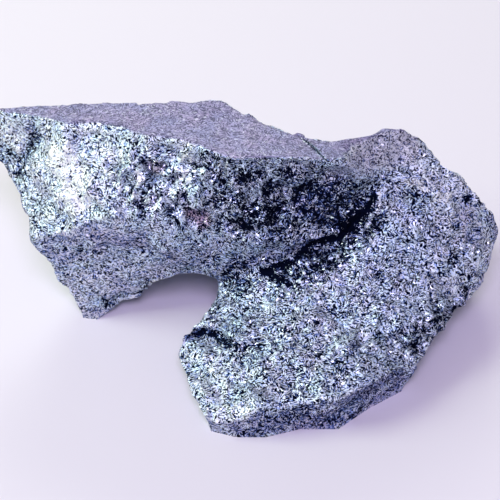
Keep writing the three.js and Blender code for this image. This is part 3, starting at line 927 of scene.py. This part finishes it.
# %% From tone to colour

CRYSTAL_COLORS = (
    (0.12, (0.010, 0.024, 0.115, 1)),
    (0.27, (0.060, 0.115, 0.32, 1)),
    (0.48, (0.22, 0.32, 0.62, 1)),
    (0.75, (0.50, 0.62, 0.95, 1)),
)
DARKEST = (0.001, 0.003, 0.015, 1)
BRIGHTEST = (0.87, 0.92, 1.0, 1)

crystal = add(tree, "ShaderNodeValToRGB", (420, 150))
crystal.color_ramp.elements[0].color = DARKEST
crystal.color_ramp.elements[1].color = BRIGHTEST
for position, shade in CRYSTAL_COLORS:
    crystal.color_ramp.elements.new(position).color = shade
link(wide, crystal.inputs["Fac"])
print("stops in the ramp:", len(crystal.color_ramp.elements))

# %% Washes

# painted shade on plain faces: a little darker and more violet
PLAIN_SHADE_WASH = (0.88, 0.81, 0.84, 1)
STAIN_WASH = (0.82, 0.62, 0.66, 1)
COOL_WASH = (0.88, 0.99, 1.0, 1)
NEUTRAL_WASH = (0.95, 0.955, 0.98, 1)
# whiter where the painted light is strong
LIT_WASH = (1.08, 1.07, 0.98, 1)
LIT_RANGE = (0.1, 0.7)
PATCH_RANGE = (0.35, 0.65)

patch = add(tree, "ShaderNodeTexNoise", (-1150, 800), Scale=220.0, Detail=3.0)
link(place.outputs["Object"], patch.inputs["Vector"])
patches = between((-900, 800), patch.outputs["Fac"], 0.0, 1.0, *PATCH_RANGE)
lit = between((420, -150), attribute["light"], 0.0, 1.0, *LIT_RANGE)
wash = mixed((600, -50), patches, COOL_WASH, NEUTRAL_WASH)
wash = mixed((780, -50), lit, wash, LIT_WASH)
color = mixed((720, 200), attribute["plain"], crystal.outputs["Color"], PLAIN_SHADE_WASH, "MULTIPLY")
color = mixed((900, 200), attribute["stain"], color, STAIN_WASH, "MULTIPLY")
color = mixed((1080, 200), 1.0, color, wash, "MULTIPLY")
print("washes over the ramp:", 3)

# %% [markdown]
# ## The cast skin
#
# The skin froze against the mould, so it is grey-violet and nearly even. The crystals below it show
# through a little: the same tone and needles are used, only weaker, with a few painted glints from the
# mirrors.

# %% The skin's colour

SKIN_SWING = 0.6
SKIN_MIDDLE = 0.35
SKIN_NEEDLES = 0.75
SKIN_PAINTED_GLINTS = 0.4
SKIN_DARK = (0.10, 0.10, 0.18, 1)
SKIN_COOL = (0.34, 0.35, 0.56, 1)
SKIN_WARM = (0.40, 0.36, 0.545, 1)
PAINTED_GLINT_COLOR = (0.85, 0.90, 1.0, 1)

grain = maths("MULTIPLY_ADD", (420, 600), tone, SKIN_SWING, SKIN_MIDDLE)
grain = maths("MULTIPLY_ADD", (600, 600), dark, SKIN_NEEDLES, grain)
bloom = mixed((600, 800), patches, SKIN_COOL, SKIN_WARM)
skin_color = mixed((780, 600), grain, SKIN_DARK, bloom)
skin_glint = maths("MULTIPLY", (780, 800), flash, SKIN_PAINTED_GLINTS)
skin_color = mixed((960, 600), skin_glint, skin_color, PAINTED_GLINT_COLOR)
link(mixed((1300, 200), attribute["skin"], color, skin_color), shader.inputs["Base Color"])
print("nodes up to the colour:", len(tree.nodes))

# %% [markdown]
# ## Lean and gloss
#
# Each blade's lean is added to the surface's normal, which is then brought back to length one. The
# mirrors lean furthest, except on the bold parts, where most of them would turn away from the light,
# and they are glossier. The skin hardly leans at all and is less of a metal, because a film of oxide
# covers it.

# %% The normal

MIRROR_LEAN = 1.4
MIRROR_LEAN_ON_BOLD = -1.0
SKIN_LEAN = 0.2

bare = maths("SUBTRACT", (420, -700), 1.0, attribute["skin"])
bright = maths("MULTIPLY", (600, -650), flash, bare)
lively = maths(
    "MULTIPLY_ADD", (420, -850), attribute["bold"], MIRROR_LEAN_ON_BOLD, MIRROR_LEAN
)
lively = maths("MULTIPLY", (600, -850), bright, lively)
glint = vectors("SCALE", (780, -650), mirrors.outputs["Tilt"], scale=lively)
lean = vectors("ADD", (960, -500), lean, glint)
amount = between((780, -400), attribute["skin"], 1.0, SKIN_LEAN)
lean = vectors("SCALE", (1140, -500), lean, scale=amount)
normal = vectors("ADD", (1320, -500), surface.outputs["Normal"], lean)
link(vectors("NORMALIZE", (1500, -500), normal), shader.inputs["Normal"])
print("lean of a mirror:", MIRROR_LEAN, "and its change on a bold part:", MIRROR_LEAN_ON_BOLD)

# %% Roughness and metal

BREAK_ROUGH, SKIN_ROUGH = 0.7, 0.65
BREAK_METAL, SKIN_METAL = 0.95, 0.4
MIRROR_GLOSS = -0.4

rough = between((1200, 0), attribute["skin"], BREAK_ROUGH, SKIN_ROUGH)
rough = maths("MULTIPLY_ADD", (1400, 0), bright, MIRROR_GLOSS, rough)
link(rough, shader.inputs["Roughness"])
metal = between((1400, -200), attribute["skin"], BREAK_METAL, SKIN_METAL)
link(metal, shader.inputs["Metallic"])
mesh.materials.append(silicon)
print("material:", silicon.name, "with", len(tree.nodes), "nodes")

# %% [markdown]
# ## The floor
#
# The lump lies on a plain pale sheet of paper. It needs only a large square that is nearly matte.

# %% The pale sheet

SHEET_HALF = 3.0
SHEET_COLOR = (0.74, 0.725, 0.757, 1)
SHEET_ROUGH = 0.8

floor_net = bmesh.new()
bmesh.ops.create_grid(floor_net, x_segments=2, y_segments=2, size=SHEET_HALF)
floor_mesh = bpy.data.meshes.new("floor")
floor_net.to_mesh(floor_mesh)
floor_net.free()
floor = bpy.data.objects.new("floor", floor_mesh)
bpy.context.collection.objects.link(floor)
paper = bpy.data.materials.new("pale paper")
paper.use_nodes = True
sheet = paper.node_tree.nodes["Principled BSDF"]
sheet.inputs["Base Color"].default_value = SHEET_COLOR
sheet.inputs["Roughness"].default_value = SHEET_ROUGH
floor_mesh.materials.append(paper)
print("floor:", 2 * SHEET_HALF, "metres across")

# %% [markdown]
# ## The light
#
# Three large soft squares light the lump. The one at the left is low and gives the blaze on the arm,
# which painted light on the slope makes stronger, and the shadow at the right. The one in front is violet
# and fills that shadow, and the one behind brightens the top and the far floor. Their tints nearly cancel
# out on the floor. The world adds a faint pale light from all round.

# %% The lights

SKY_COLOR = (0.93, 0.87, 1.0, 1)
SKY_STRENGTH = 0.33
LAMPS = (
    # name, place and size in millimetres, watts, colour
    ("left", (-567, 0, 440), 324, 3.62, (0.90, 1.0, 0.79)),
    ("front", (0, -424, 678), 250, 3.45, (0.76, 0.64, 1.0)),
    ("back", (0, 693, 400), 250, 2.31, (0.97, 1.0, 0.905)),
)
LAMP_AIM = Vector((0, 0, 15)) * MM

world = bpy.data.worlds.new("studio")
bpy.context.scene.world = world
world.use_nodes = True
sky = world.node_tree.nodes["Background"]
sky.inputs["Color"].default_value = SKY_COLOR
sky.inputs["Strength"].default_value = SKY_STRENGTH
for name, place_mm, size_mm, watts, tint in LAMPS:
    lamp_data = bpy.data.lights.new(name, "AREA")
    lamp_data.energy = watts
    lamp_data.size = size_mm * MM
    lamp_data.color = tint
    lamp = bpy.data.objects.new(name, lamp_data)
    lamp.location = Vector(place_mm) * MM
    lamp.rotation_euler = (LAMP_AIM - lamp.location).to_track_quat("-Z", "Y").to_euler()
    bpy.context.collection.objects.link(lamp)
    print("light", name, "at", lamp.location.length, "metres")

# %% [markdown]
# ## The camera
#
# The camera looks down at the lump from the front, halfway between level and straight down. A long lens
# from some way off keeps the near and the far end in the same scale, as in a product picture.

# %% The camera

ELEVATION = math.radians(45)
TARGET = Vector((1.744, 6.144, 15.0)) * MM
DISTANCE = 400 * MM
LENS = 144
NEAREST = 0.01

eye = TARGET + DISTANCE * Vector((0, -math.cos(ELEVATION), math.sin(ELEVATION)))
camera_data = bpy.data.cameras.new("camera")
camera_data.sensor_width = 36
camera_data.lens = LENS
camera_data.clip_start = NEAREST
camera = bpy.data.objects.new("camera", camera_data)
camera.location = eye
camera.rotation_euler = (TARGET - eye).to_track_quat("-Z", "Y").to_euler()
bpy.context.collection.objects.link(camera)
bpy.context.scene.camera = camera
bpy.context.scene.view_settings.view_transform = "Standard"
print("camera at", eye, "with a lens of", LENS, "mm")
